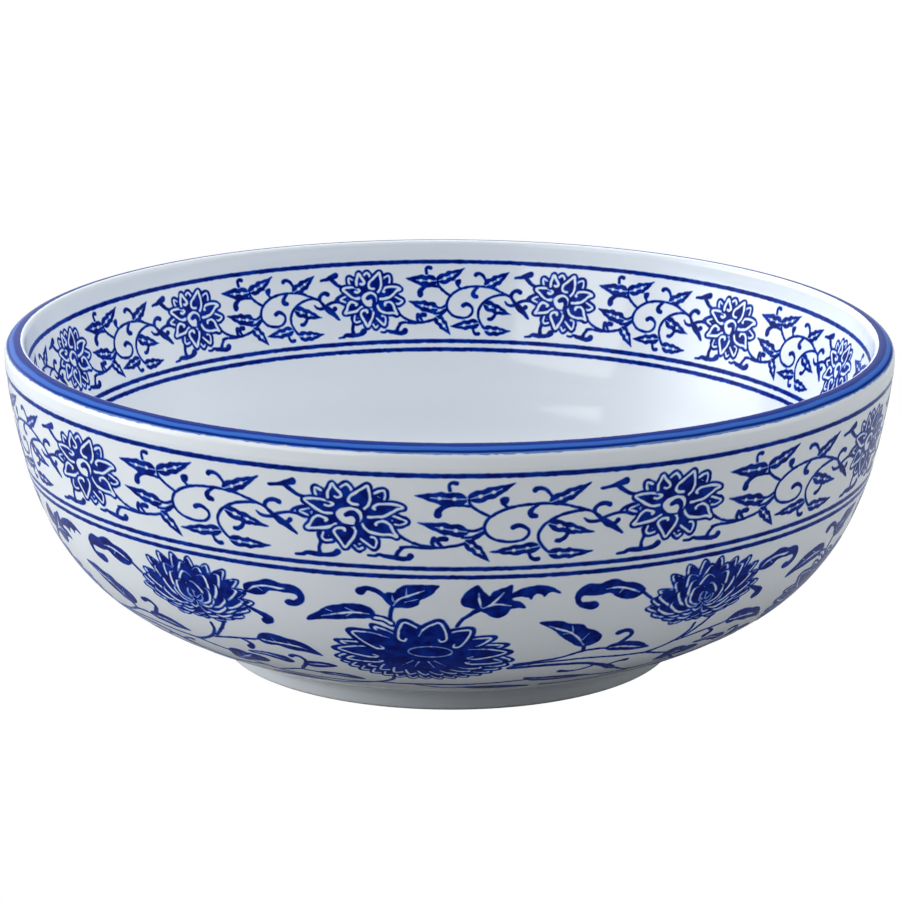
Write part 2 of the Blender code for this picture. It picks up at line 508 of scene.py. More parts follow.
OUTER_RIBBONS = [
    [(-10, 74), (-10.5, 79), (-10.2, 82.5), (-8.5, 80)],
    [(-3, 83), (-1.8, 86.5), (-0.6, 88), (0.6, 84), (0.8, 81)],
    [(7.5, 80), (9, 82.5), (10.5, 83), (10.8, 78), (10.5, 74)],
    [(13, 57), (15, 54.5), (17, 51), (15, 47.5), (13.5, 48)],
    [(3, 30.5), (5, 25.5), (7, 21.5), (7.8, 28), (7.2, 32.5), (6, 33)],
    [(1, 23), (2.2, 19), (3.4, 21)],
    [(-8.5, 35), (-9, 29.5), (-8, 26.5), (-6, 27.5)],
    [(-12.5, 60), (-15.5, 56), (-13, 52.5)],
]
RIBBON = 0.40              # half-width of a white ribbon, in mm
OUTLINE = 0.40             # width of the dark line round a ribbon


def draw_border_flower(sheet, x):
    """A twelve-petalled flower with a comma-shaped eye, its middle at x."""
    def moved(points):
        return [(px + x, py) for px, py in points]

    for ribbon in OUTER_RIBBONS + FLOWER_RIBBONS:
        sheet.brush(moved(ribbon), RIBBON + OUTLINE)
        sheet.fill(moved(ribbon))
    sheet.fill(moved([(-11.5, 55), (-9, 75), (0, 82), (9.5, 75), (12.5, 55), (9.5, 36), (2, 26), (-8, 34)]))
    for ribbon in OUTER_RIBBONS:
        sheet.brush(moved(ribbon), RIBBON * 0.85, lift=True)
    for ribbon in FLOWER_RIBBONS:
        sheet.brush(moved(ribbon), RIBBON + 0.3)
        sheet.fill(moved(ribbon))
        sheet.brush(moved(ribbon), RIBBON, lift=True)
    eye = moved([(-4.4, 55), (-3.4, 61.5), (0, 64.8), (3, 62), (4, 56), (3.2, 49), (1, 45.2), (-2.4, 46.8)])
    sheet.fill(eye, grow=0.3)
    sheet.fill(eye, lift=True)
    sheet.brush(moved([(-1.2, 55.8), (0.4, 58), (1.8, 56), (2.3, 51), (1.9, 45.5), (2.4, 41)]),
                [0.42, 0.55, 0.5, 0.42, 0.4, 0.4])


# %% The border's vines, curls and leaves
VINE = 0.25
BORDER_LEAVES = [          # base, tip, half-width in mm, bend in mm
    ((34.8, 76), (19.3, 79.5), 1.50, 0.25), ((35.4, 76), (49, 92), 1.38, -0.30),
    ((59.6, 70), (71.8, 88.5), 1.36, -0.25), ((35.2, 41), (20.3, 50.5), 1.42, 0.25),
    ((34.4, 30.6), (41.9, 8), 1.20, 0.15), ((59.2, 48), (74, 35), 1.30, -0.20),
    ((59.8, 14.6), (74, 14.4), 1.25, -0.15), ((57, 23.5), (41.8, 18.6), 1.25, 0.20),
]


def draw_border_vines(sheet):
    """Everything between one flower and the next; the sheet's x = 0 is the first flower."""
    brush, fill = sheet.brush, sheet.fill
    brush([(14.2, 38), (16.5, 32), (19.5, 27.5), (22.5, 25), (26, 23.8)], VINE)
    brush([(15, 23), (18, 24), (21.5, 23.3), (26, 23.6), (30, 25), (33.5, 27.5), (36, 31), (38.5, 36),
           (40.2, 40.5)], VINE)
    brush([(25.2, 24), (24.5, 28.5), (25, 33)], [0.27, 0.32, 0.55])
    brush([(33.5, 43), (37, 42), (40, 45.5)], VINE)
    brush([(33.5, 35), (36.5, 35.5), (40.2, 41)], VINE)
    brush([(40.3, 40.5), (40.1, 47), (41, 54), (42.6, 58.5), (45, 63), (48, 66.5), (52, 68.7),
           (56, 69.3), (60, 69), (64, 67), (68, 63), (70.5, 60), (73, 57), (74.6, 52.5), (76.5, 47)],
          [VINE] * 13 + [0.36, 0.45])
    brush([(40.3, 40.5), (41.5, 36), (43.5, 32), (46, 30), (49, 29.5), (51.5, 31), (53, 34.5),
           (53.5, 39), (53, 43), (51.5, 46), (50, 46.8), (48.6, 45)], [VINE] * 8 + [0.3, 0.38, 0.45, 0.52])
    brush([(70.5, 60), (67, 59), (63, 56), (60, 51), (58, 46), (56.7, 39), (56.5, 32), (57.5, 25),
           (59, 19), (60.5, 15)], VINE)
    for base, tip, half_width, bend in BORDER_LEAVES:
        sheet.leaf(base, tip, half_width, bend)
    brush([(29.8, 85), (29.6, 90.5), (30.5, 93), (31.8, 92.3)], [0.3, 0.3, 0.36, 0.42])
    brush([(35.4, 75), (35.8, 70), (37.5, 65), (39.5, 61), (41.6, 57.5)], VINE)
    brush([(35.5, 68.5), (33, 69.5), (30, 69.5), (27.8, 67), (26.4, 63), (26.3, 59.5)],
          [0.25, 0.25, 0.3, 0.42, 0.62, 0.76])
    brush([(60, 76), (58.6, 82.5), (56.8, 85.3), (55.2, 85), (54.8, 83.6)], [0.27, 0.3, 0.36, 0.42, 0.48])
    # the small curls on the big arc and inside the scroll
    brush([(47, 66), (46, 69), (45.6, 72)], VINE)
    fill([(44.6, 74.5), (45.4, 76.8), (46.8, 77), (47, 74.5), (46.6, 71.5), (45.4, 69.5)], grow=0.1)
    brush([(56, 68.5), (54.6, 65), (53.6, 61), (54, 57.5), (55.4, 56.3)], [0.27, 0.32, 0.5, 0.55, 0.45])
    brush([(65.2, 42), (65.4, 35.5), (64.5, 31), (63.2, 28.4), (62.2, 28.6)], [0.27, 0.32, 0.36, 0.42, 0.4])
    brush([(53.6, 19), (54.3, 12.5), (55.5, 9.2), (56.8, 9.6)], [0.3, 0.3, 0.38, 0.45])
    brush([(27.3, 25.5), (26.2, 30), (27, 33.4), (28.6, 33)], [0.25, 0.34, 0.5, 0.5])
    # the flourishes beside the next flower
    brush([(75, 81.3), (78, 82.3), (80.5, 84.5), (82.8, 86.6)], [0.2, 0.36, 0.55, 0.72])
    brush([(80, 84), (82, 78), (84.5, 73), (87.5, 71)], [0.5, 0.4, 0.32, 0.3])
    brush([(73.6, 56), (73.4, 60), (74.6, 64), (76.5, 65.4), (78, 63.6)], [0.3, 0.42, 0.36, 0.42, 0.5])
    brush([(70.3, 51), (71.6, 47.5), (73.5, 46.3), (76, 47.5)], [0.14, 0.28, 0.32, 0.4])
    brush([(76, 48), (78, 43.5), (80.5, 38), (83, 31)], [0.5, 0.72, 0.55, 0.2])
    brush([(79, 42), (80.4, 43), (81.2, 45.2)], [0.4, 0.36, 0.52])
    brush([(76.5, 49.5), (78.5, 52), (81, 53.5), (83.5, 53), (86, 50)], [0.36, 0.28, 0.27, 0.27, 0.27])
    brush([(81.5, 54), (83, 58.5), (85.5, 61.5), (88, 61)], VINE)
    brush([(82, 8), (84.5, 9), (85.8, 11), (88.5, 10.6), (91.5, 10.3), (94, 11.5), (95.6, 14.6)],
          [0.2, 0.3, 0.42, 0.5, 0.42, 0.5, 0.72])
    brush([(90, 11), (89.8, 18), (90.4, 24.5), (89.8, 31), (90.2, 37)], [0.42, 0.34, 0.3, 0.27, 0.27])
    brush([(90.4, 24), (93, 26.5), (95, 28)], VINE)
    brush([(105, 13), (107, 12.6), (108.5, 14.3), (110.3, 12.8), (112.8, 11.8), (115.2, 10.5),
           (117.2, 11.3), (117.9, 13.6)], [0.2, 0.25, 0.3, 0.4, 0.48, 0.48, 0.5, 0.66])
    brush([(113.5, 13), (114.2, 18), (115.6, 22.5)], [0.4, 0.34, 0.3])


def draw_border(width, height):
    """One repeat of the border, from just right of one flower to just right of the next."""
    sheet = Sheet(width, height, (width / 100, height / 100))
    draw_border_vines(sheet)
    draw_border_flower(sheet, 100)
    return sheet


# %% [markdown]
# ## The wide field
# Below the double line a lotus and a peony take turns, five of each, joined by vines and leaves.
# Places are degrees to the right of the front and mm down the wall from the double line. Each of the
# three parts is drawn on its own sheet, so that each film stays light.

# %% The field's leaves
FIELD_DEPTH = 52.0
FIELD_SCALE = 1.6          # mm to the degree, near the middle of the field
FIELD_REPEATS = 5
FIELD_TURN = 360 / FIELD_REPEATS
LEAVES = [
    # the long leaf over the lotus's left shoulder
    ([(-18.9, 13.5), (-18.5, 12.2), (-17, 10.6), (-16, 9.2), (-14, 8.2), (-12.5, 7.7), (-11, 7.9),
      (-9.9, 8.8), (-9.5, 10.3), (-9.9, 11.3), (-11, 11.6), (-12.5, 11.8), (-14.5, 12.4), (-16.2, 12.6),
      (-17.5, 13)],
     [[(-10.2, 10.3), (-12, 10.1), (-14.5, 10.8), (-16.8, 11.9)], [(-12, 10), (-13.4, 8.9)],
      [(-15.2, 10.3), (-16, 9.8)], [(-12.6, 10.4), (-13.4, 11.4)]]),
    # the leaf at the top
    ([(-7.1, 8), (-8, 6.5), (-8.3, 5.2), (-7.6, 4.2), (-6.8, 4.3), (-6.3, 3.2), (-5.5, 2.3), (-4.5, 2.1),
      (-3, 2), (-1.2, 2.1), (-1.6, 3.2), (-2, 4.3), (-2.8, 5.2), (-3.6, 5.9), (-3.9, 7.2), (-4.8, 8),
      (-6.2, 8.1)],
     [[(-7, 7.6), (-6.3, 6), (-5, 4.9), (-3, 3.4)], [(-7, 6.4), (-7.1, 4.8)], [(-5.3, 4.9), (-5.2, 2.8)],
      [(-5.5, 6.6), (-3.8, 5.7)]]),
    # the vine leaf at the right, with its toothed wing
    ([(4, 8.4), (3, 8), (1.9, 7.4), (1.6, 6.2), (1.9, 4.6), (2.6, 3.2), (3.6, 2), (4.1, 3), (4.7, 4.2),
      (5.2, 5), (5.5, 4), (6.3, 3.2), (7.2, 2.7), (7.9, 2.2), (8, 3.4), (8, 4.3), (8.5, 3.9), (9.5, 3.1),
      (11, 2.6), (12.4, 2.8), (13.4, 3.6), (14.3, 5), (13.2, 4.4), (12.6, 4.7), (12.2, 5.6), (11.9, 5),
      (11.2, 4.6), (10.7, 5.2), (10.5, 6.1), (10, 5.5), (8.9, 5.2), (8, 5.6), (8.2, 6.2), (9.2, 6.8),
      (9.9, 8.4), (9, 8.2), (8, 8.4), (7.9, 8.6), (7.5, 9.8), (6.8, 10.7), (6.1, 10.8), (5.3, 10.2),
      (4.8, 9.4), (4.2, 8.8)],
     [[(4.2, 8), (3.9, 6), (3.8, 4)], [(4.4, 8.1), (5.4, 7.2), (6.2, 5.7), (7, 3.9)],
      [(4.4, 8.1), (6, 7.1), (8, 7.6)]]),
    # the curled leaf at the peony's right
    ([(-27.2, 7.2), (-27, 5.7), (-26, 4.9), (-25, 4.5), (-23.8, 3.6), (-22.5, 3.7), (-21.6, 4.2),
      (-20.2, 4.2), (-19.2, 5), (-18.7, 6.6), (-18.8, 8), (-19.4, 9.3), (-20.5, 9.9), (-21.3, 9.6),
      (-21.5, 8.8), (-20.9, 8.2), (-20.2, 8.3), (-19.6, 7.6), (-19.7, 6.8), (-20.3, 6.4), (-21.5, 6.4),
      (-22.8, 6.3), (-23.6, 6.6), (-24.2, 7.5), (-25.4, 8), (-26.6, 7.9)],
     [[(-26.6, 7.2), (-25.6, 6), (-24, 5.3), (-22, 5.5), (-21.2, 5.4)], [(-25.2, 5.9), (-24.4, 6.8)]]),
    # and its mirror image at the left of the next peony
    ([(26, 6.4), (25.2, 5), (24, 4), (22.8, 3.6), (21.6, 2.6), (20.5, 2.7), (19.4, 3.4), (18, 3.1),
      (16.9, 4), (16.3, 5.6), (16.4, 7.4), (17.1, 9), (18.4, 10), (19.4, 9.8), (19.7, 8.9), (19.2, 8),
      (18.4, 7.9), (17.4, 7.9), (17, 7), (17.3, 6.1), (18.2, 6.2), (19.6, 6.3), (21, 6), (22, 7.2),
      (23.4, 8.2), (24.6, 8.2), (25.4, 7.6)],
     [[(25.2, 6.8), (23.8, 5.7), (22, 4.8), (20.2, 4.9)], [(22.8, 5.2), (22.2, 6.4)]]),
    # the long leaf below the peony
    ([(-27.9, 22.4), (-27.6, 21.2), (-26.8, 20.2), (-25.6, 19.8), (-24.2, 20.1), (-23, 20.8),
      (-21.8, 21.1), (-20.6, 22), (-19.4, 23.8), (-18.4, 26.2), (-19.2, 26), (-20.6, 25.3), (-22, 25.2),
      (-23.6, 24.8), (-25, 24), (-26.4, 24.2), (-27.4, 23.8)],
     [[(-27.3, 22.6), (-26, 22.9), (-24, 23), (-22, 23.4), (-20.5, 24.2)], [(-25, 22.9), (-25.6, 21.2)],
      [(-22.6, 23.2), (-23.2, 22)]]),
    # the leaves at the right of the lotus
    ([(23, 23.9), (23.4, 22.8), (24.6, 22.2), (26, 22.2), (27.6, 22.8), (28.8, 23.6), (29.8, 24.9),
      (30.6, 26.1), (29, 26.2), (27.5, 26.2), (26, 25.6), (24.4, 25.2), (23.3, 24.6)],
     [[(23.6, 23.8), (25.6, 24), (27.6, 24.8), (29, 25.4)]]),
    ([(12, 12.8), (13, 14), (14.2, 15.4), (15, 17), (16, 18.6), (17.2, 20.2), (18.2, 21.6), (19.3, 22),
      (20.4, 21.7), (21.3, 20.4), (21.3, 18.5), (20.2, 16.8), (18.9, 15.7), (18, 14.3), (16.4, 13.9),
      (15, 12.9), (13.4, 12.6)],
     [[(19.2, 21.6), (18, 18.8), (16.6, 16.6), (14.8, 15.2), (13.4, 14)], [(17, 16.6), (16.6, 14.4)],
      [(18.6, 19.8), (19.4, 17.4)], [(16.4, 16.8), (15.6, 17)]]),
    # the fan leaf below the peony and the small leaves beside it
    ([(-36.6, 36), (-36.4, 33.4), (-36, 31), (-34.5, 29.8), (-33, 30.2), (-32.2, 31), (-31, 30.8),
      (-29.8, 31.4), (-29, 33), (-30, 34.4), (-31.6, 35), (-33, 35.4), (-34.6, 36.6)],
     [[(-31.8, 31.4), (-33.2, 33), (-36, 35.6)], [(-33, 33), (-34.6, 31.4)], [(-33.2, 33.6), (-30.6, 33)]]),
    ([(-31.7, 29.4), (-30.5, 28.7), (-28.5, 28.2), (-26.5, 28.4), (-25, 29), (-24.2, 30.4), (-24.2, 31.4),
      (-25.4, 32), (-27, 31), (-29, 30), (-30.6, 29.9)],
     [[(-30.6, 29.2), (-28, 29.2), (-25.4, 30.6)]]),
    ([(-21.8, 29.9), (-20.5, 29.5), (-19, 29.4), (-17.8, 29.8), (-17, 30.8), (-18.4, 31.8), (-20, 32.6),
      (-21.4, 32.8), (-22, 32)],
     [[(-21.6, 31.2), (-19.6, 30.8), (-18.2, 30.8)]]),
    ([(-21.3, 36.4), (-20, 35.4), (-17.5, 35.3), (-15.8, 36), (-14.2, 37.6), (-13.9, 39), (-16, 38.8),
      (-18.5, 38), (-20.5, 37.6)],
     [[(-20.4, 36.6), (-17.8, 36.8), (-15.2, 38)]]),
    ([(12.2, 36.2), (14.5, 36.6), (17, 36.8), (20, 37.2), (23, 38.4), (24.5, 39.8), (21, 40.3),
      (17, 40.3), (14.2, 39.6), (13, 38.2)],
     [[(13.6, 37.6), (17, 38.4), (21.5, 39.2)]]),
    # low leaves, on the turn of the wall above the foot
    ([(-33, 44), (-30, 42.4), (-26, 42.6), (-22, 44.6), (-26, 46), (-30, 46)], [[(-32, 44.4), (-25, 44.4)]]),
    ([(2, 44), (6, 42.8), (11, 43.4), (15, 45.6), (10, 46.6), (5, 46.2)], [[(3, 44.6), (12, 45.2)]]),
]

# %% The field's vines, curls and stems
FIELD_VINE = 0.28
VINES = [
    ([(-9.6, 11.2), (-8.4, 11.6), (-7.4, 12.8)], 0.85),
    ([(-7, 13.4), (-7.5, 11.5), (-7.4, 9.5), (-7.1, 7.6)], 0.36),
    ([(-8, 5.4), (-8.6, 4.4), (-9.5, 3.6), (-10.4, 3.4), (-11.1, 4.2)], [0.5, 0.5, 0.5, 0.55, 0.95]),
    ([(1.1, 13.2), (1.8, 11.3), (2.9, 9.6), (3.9, 8.4)], [0.3, 0.32, 0.4, 0.6]),
    ([(-28.5, 9.5), (-27.6, 8.3), (-26.8, 7.4)], 0.28),
    ([(27.2, 9), (26.6, 8.2), (25.8, 7)], 0.28),
    ([(-27.9, 11.4), (-26.6, 12.6), (-25.3, 13.6), (-24.6, 14.8), (-25.2, 15.6)], [0.3, 0.42, 0.7, 1.1, 0.9]),
    ([(-35.2, 20), (-35.3, 22), (-36, 24), (-37, 25.6), (-38.6, 27.2), (-40.2, 28.3), (-41.6, 28.9)], 0.34),
    ([(-32.5, 18.4), (-33.5, 20.8), (-34.8, 23.2), (-35.8, 24.6)], 0.34),
    ([(-36.5, 25.7), (-35, 25.1), (-33, 24.3), (-31, 23.7), (-29, 23.2), (-27.8, 22.6)], 0.26),
    ([(-31.4, 23.7), (-30.3, 24.6), (-29.8, 25.8), (-30.4, 27)], [0.28, 0.4, 0.6, 0.9]),
    ([(9.6, 27.7), (13, 26.8), (16, 26), (18, 24.8), (19.5, 23.9), (21.5, 23.6), (23.2, 23.9)], 0.3),
    ([(24.9, 22.4), (25.5, 21.2), (26.1, 19.8), (25.8, 18.5), (24.9, 18), (23.9, 18.5)],
     [0.6, 0.5, 0.42, 0.45, 0.55, 0.75]),
    ([(19.4, 24), (19.4, 22.7), (19.2, 21.5)], 0.4),
    ([(9.2, 28.5), (13, 27.6), (17, 27.3), (20, 27.2), (23, 27.6), (26, 28.2), (29, 28.6), (31, 28.8)], 0.26),
    ([(9, 29.4), (14, 29), (18, 29.3), (21, 29.9), (23, 31.2), (24.8, 32.6), (26.4, 34.5), (27.8, 36.2)],
     [0.5, 0.5, 0.5, 0.5, 0.6, 0.8, 1.1, 0.4]),
    ([(23, 31.4), (21.5, 33.2), (19.5, 33.9), (17.6, 33.3)], [0.3, 0.36, 0.4, 0.75]),
    ([(25.5, 32.4), (27, 31.4), (28.4, 31.2)], [0.3, 0.3, 0.6]),
    ([(31, 28.8), (33.5, 30.4), (36, 31.5), (38.5, 31.2), (40.4, 31)], 0.28),
    ([(-23.9, 35.4), (-23.2, 33.6), (-22.3, 31.6), (-21.9, 29.6), (-22.4, 28), (-23.3, 27.6), (-23.9, 28.2)],
     [0.4, 0.42, 0.45, 0.45, 0.45, 0.5, 0.7]),
    ([(-30, 40), (-27, 37.6), (-24.5, 35.9), (-21, 36.6)], 0.34),
    ([(-33, 36), (-31.6, 38), (-30, 40), (-25, 41.4), (-18, 42), (-12, 40.6)], 0.34),
    ([(-8.5, 34.5), (-8.8, 36.5), (-10, 38.5), (-12, 40.4)], 0.42),
    ([(-12, 40.5), (-8, 40.9), (-3, 40.7), (2, 40.9), (6, 40.2), (10, 39), (13.4, 38)],
     [0.35, 0.5, 0.6, 0.6, 0.5, 0.4, 0.35]),
    ([(24, 39.6), (28, 40.8), (33, 40.4), (37, 39), (40, 38), (42, 39.6)], 0.36),
    ([(28, 36), (30, 38.4), (33, 40.4)], 0.34),
    ([(-12, 40.6), (-16, 43), (-20, 44.8), (-23, 44.6)], 0.34),
    ([(-6, 41), (-3, 43.4), (0, 44.6), (3, 44.4)], 0.34),
    ([(33, 40.4), (31, 43.2), (27, 45), (22, 45.4), (17, 45.4)], [0.34, 0.34, 0.36, 0.4, 0.7]),
]
TUBE_LIGHTS = [[(-9.5, 11.2), (-8.4, 11.6), (-7.5, 12.7)]]


def field_sheet(first_azimuth):
    """An empty sheet for one repeat of the field, cut at an azimuth."""
    return Sheet(FIELD_TURN * FIELD_SCALE, FIELD_DEPTH, (FIELD_SCALE, -1), (first_azimuth, FIELD_DEPTH))


def draw_scroll(sheet):
    """Vines first, then leaves with their veins scraped out."""
    for points, width in VINES:
        sheet.brush(points, width)
    for points in TUBE_LIGHTS:
        sheet.brush(points, 0.45, lift=True)
    for outline, veins in LEAVES:
        sheet.fill(outline)
        for vein in veins:
            sheet.brush(vein, [0.20] + [0.34] * (len(vein) - 2) + [0.14], lift=True)


# %% [markdown]
# ### Lotus and peony
# Both flowers are built from petals set round a middle, each by its turn, its reach and its width. The
# lotus is nearly all dark: a fringe of small petals, then broad ones that fan out above, each with one
# pale line scraped inside its edge, and an almond eye. The peony has many more petals, ring by ring,
# each a dark outline, a pale ribbon and a dark heart. A nearer petal covers the one behind.

# %% The lotus
LOTUS_MIDDLE = (-3.5, 23.4)
LOTUS_REACH = (13.2, 12.4)         # degrees across, mm up or down
LOTUS_EYE = (3.2, 2.2)
LOTUS_FRINGE = 17
BROAD_PETALS = [           # turn in degrees, share of the reach, half-width in mm; hindmost first
    (160, 0.98, 1.9), (20, 0.95, 1.9), (122, 0.96, 2.0), (36, 0.93, 2.2), (-166, 0.94, 2.3),
    (-14, 0.94, 2.3), (174, 0.98, 2.7), (6, 0.95, 2.6), (140, 1.00, 3.2), (56, 0.93, 3.3),
    (101, 0.98, 3.7), (79, 0.99, 3.9),
]


def round_lotus(turn, share):
    """The place at a turn round the lotus and a share of its reach."""
    turn = math.radians(turn)
    return (LOTUS_MIDDLE[0] + LOTUS_REACH[0] * share * math.cos(turn),
            LOTUS_MIDDLE[1] - LOTUS_REACH[1] * share * math.sin(turn))


def draw_lotus(sheet):
    for turn in np.linspace(-170, -10, LOTUS_FRINGE):
        sheet.scraped_petal(round_lotus(turn, 0.99), round_lotus(turn, 0.55), 2.0)
    for turn in np.linspace(-160, -20, LOTUS_FRINGE - 6):
        sheet.scraped_petal(round_lotus(turn, 0.80), round_lotus(turn, 0.30), 2.3)
    sheet.fill([round_lotus(turn, 0.55) for turn in range(0, 360, 30)])
    for turn, share, half_width in BROAD_PETALS:
        sheet.scraped_petal(round_lotus(turn, share), round_lotus(turn, 0.22), half_width,
                            1 if turn > 90 or turn < -90 else -1)
    eye_x, eye_y = LOTUS_MIDDLE[0] + 1.0, LOTUS_MIDDLE[1] - 1.6
    eye = [(eye_x + LOTUS_EYE[0] * math.cos(turn), eye_y - LOTUS_EYE[1] * math.sin(turn))
           for turn in np.linspace(0, math.tau, 12, endpoint=False)]
    sheet.fill(eye, grow=0.35)
    sheet.fill(eye, lift=True)
    sheet.fill(eye, grow=-0.45)
    for turn in (-125, -105, -75, -55):
        sheet.brush([round_lotus(turn, 0.20), round_lotus(turn, 0.42)], [0.26, 0.12], lift=True)


# %% The peony
PEONY_AZIMUTH = -35.8
PEONY_DEPTH = 12.6


def draw_peony(sheet):
    """Rings of pointed petals round a heart that sits a little low, seen slightly from below."""
    dice = np.random.default_rng(5)
    rings = [(21, 1.00, 0.66, 1.5), (15, 0.84, 0.44, 2.1), (11, 0.62, 0.20, 2.6), (7, 0.38, 0.04, 2.5),
             (3, 0.16, 0.0, 1.3)]
    for count, outer, inner, half_width in rings:
        turns = math.tau * (np.arange(count) + dice.uniform(-0.18, 0.18, count) + 0.5 * (count % 3)) / count
        for turn in sorted(turns, key=lambda t: math.sin(t)):
            reach_x = 14.8 * math.cos(turn) / FIELD_SCALE
            reach_y = -math.sin(turn) * (10.0 if math.sin(turn) > 0 else 7.6)
            jitter = dice.uniform(0.92, 1.05)
            tip = (PEONY_AZIMUTH + reach_x * outer * jitter, PEONY_DEPTH - 1.6 + reach_y * outer * jitter)
            base = (PEONY_AZIMUTH + reach_x * inner * 0.7, PEONY_DEPTH + reach_y * inner * 0.7)
            lean = 0.16 if math.cos(turn) > 0 else -0.16
            sheet.petal(tip, base, half_width * dice.uniform(0.9, 1.1), 0.26, 0.32, lean)
    for turn in np.radians([40, 90, 140, 215, 270, 325]):
        sheet.brush([(PEONY_AZIMUTH + 0.4 * math.cos(turn), PEONY_DEPTH - 0.6 * math.sin(turn)),
                     (PEONY_AZIMUTH + 1.5 * math.cos(turn), PEONY_DEPTH - 2.4 * math.sin(turn))],
                    [0.22, 0.12], lift=True)


# %% [markdown]
# ## Laying a sheet on the wall
# Where the distances pass through zero lies the ink's edge. Marching squares finds it: each cell of
# four neighbours is crossed by at most two short segments, which link up into closed loops. The loops
# are filled with triangles, and the flat triangles are wrapped round the wall.
# Each film is a thin closed solid: a printed face, an underside sunk in the glaze, and an edge.


# %% Marching squares
EDGE_CROSSINGS = {1: ["BL"], 2: ["RB"], 3: ["RL"], 4: ["TR"], 5: ["BL", "TR"], 6: ["TB"], 7: ["TL"],
                  8: ["LT"], 9: ["BT"], 10: ["RB", "LT"], 11: ["RT"], 12: ["LR"], 13: ["BR"], 14: ["LB"]}


def ink_outlines(sheet, level):
    """Closed loops, in mm, along which the ink's distance equals the level; ink on their left."""
    core = sheet.ink - level
    field = np.pad(core, 1, mode="edge")
    for edge in (np.s_[0], np.s_[-1], np.s_[:, 0], np.s_[:, -1]):
        field[edge] = -np.abs(field[edge]) - 1e-6
    columns = field.shape[1]
    inside = field > 0
    case = (inside[:-1, :-1] * 1 + inside[:-1, 1:] * 2 + inside[1:, 1:] * 4 + inside[1:, :-1] * 8)
    follow = {}
    for number, crossings in EDGE_CROSSINGS.items():
        rows, cols = np.nonzero(case == number)
        node = rows * columns + cols
        edges = {"B": node * 2, "T": (node + columns) * 2, "L": node * 2 + 1, "R": (node + 1) * 2 + 1}
        for start, end in crossings:
            follow.update(zip(edges[start].tolist(), edges[end].tolist()))
    loops = []
    flat = field.ravel()
    while follow:
        start, there = follow.popitem()
        loop = [start]
        while there != start:
            loop.append(there)
            there = follow.pop(there)
        ids = np.array(loop)
        node = ids // 2
        other = np.where(ids % 2, node + columns, node + 1)
        t = flat[node] / (flat[node] - flat[other])
        x = node % columns + np.where(ids % 2, 0, t)
        y = node // columns + np.where(ids % 2, t, 0)
        loops.append(np.column_stack([(x - 0.5) * sheet.cell[0], (y - 0.5) * sheet.cell[1]]))
    return loops


# %% Thin out a loop and fill it
def spaced(loop, spacing, width):
    """A loop's points at an even spacing; points on the sheet's two cut edges all stay."""
    steps = np.hypot(*(np.roll(loop, -1, 0) - loop).T)
    run = np.concatenate([[0], np.cumsum(steps)])
    if run[-1] < 0.5:
        return None
    count = max(6, round(run[-1] / spacing))
    closed = np.vstack([loop, loop[:1]])
    marks = np.linspace(0, run[-1], count, endpoint=False)
    at_cut = (np.abs(loop[:, 0]) < 1e-5) | (np.abs(loop[:, 0] - width) < 1e-5)
    marks = np.unique(np.concatenate([marks, run[:-1][at_cut]]))
    return np.column_stack([np.interp(marks, run, closed[:, 0]), np.interp(marks, run, closed[:, 1])])


def sample(sheet, x, y):
    """The ink's distance at places in mm."""
    col = np.clip(x / sheet.cell[0] - 0.5, 0, sheet.columns - 1.001)
    row = np.clip(y / sheet.cell[1] - 0.5, 0, sheet.rows - 1.001)
    c, r = col.astype(int), row.astype(int)
    u, v = col - c, row - r
    lower = sheet.ink[r, c] * (1 - u) + sheet.ink[r, c + 1] * u
    upper = sheet.ink[r + 1, c] * (1 - u) + sheet.ink[r + 1, c + 1] * u
    return lower * (1 - v) + upper * v


def cut_film(sheet, level, spacing):
    """Flat film: points in mm, and triangles over the ink."""
    points, edges = [], []
    for loop in ink_outlines(sheet, level):
        loop = spaced(loop, spacing, sheet.width)
        if loop is None:
            continue
        first = len(points)
        points.extend(map(Vector, loop))
        edges.extend((first + k, first + (k + 1) % len(loop)) for k in range(len(loop)))
    stitch = 9
    rows, cols = np.nonzero(sheet.ink[::stitch, ::stitch] > level + 0.45)
    inner = np.column_stack([(cols * stitch + 0.5) * sheet.cell[0], (rows * stitch + 0.5) * sheet.cell[1]])
    points.extend(map(Vector, inner))
    made = delaunay_2d_cdt(points, edges, [], 1, 1e-5)
    flat = np.array([tuple(p) for p in made[0]])
    triangles = np.array([f for f in made[2] if len(f) == 3])
    middle = flat[triangles].mean(1)
    return flat, triangles[sample(sheet, middle[:, 0], middle[:, 1]) > level]


# %% Wrap film round the wall
class Wall:
    """One side of the bowl: the way down its profile, with lengths and outward directions."""

    def __init__(self, path, side):
        self.path, self.side = path, side
        self.run = np.concatenate([[0], np.cumsum(np.hypot(*np.diff(path, axis=0).T))])
        along = np.gradient(path, self.run, axis=0)
        along /= np.hypot(*along.T)[:, None]
        self.out = np.column_stack([-along[:, 1], along[:, 0]]) * side

    def run_at(self, depth_share):
        """How far down the profile a depth lies, the depth being a share of the bowl's height."""
        return np.interp(crest_height * (depth_share - 1), -self.path[:, 1], self.run)

    def place(self, azimuth, run, lift):
        """World points, from degrees to the right of the front (or back) and metres down the wall."""
        radius, height, out_r, out_z = (np.interp(run, self.run, column) for column in
                                        (*self.path.T, *self.out.T))
        turn = self.side * np.radians(azimuth - 90)
        reach = radius + out_r * lift
        return np.column_stack([reach * np.cos(turn), reach * np.sin(turn), height + out_z * lift])


outside = Wall(outer_path, 1)
inside = Wall(inner_path, -1)
SUNK = -0.10 * MM          # where a film's underside lies, in the porcelain


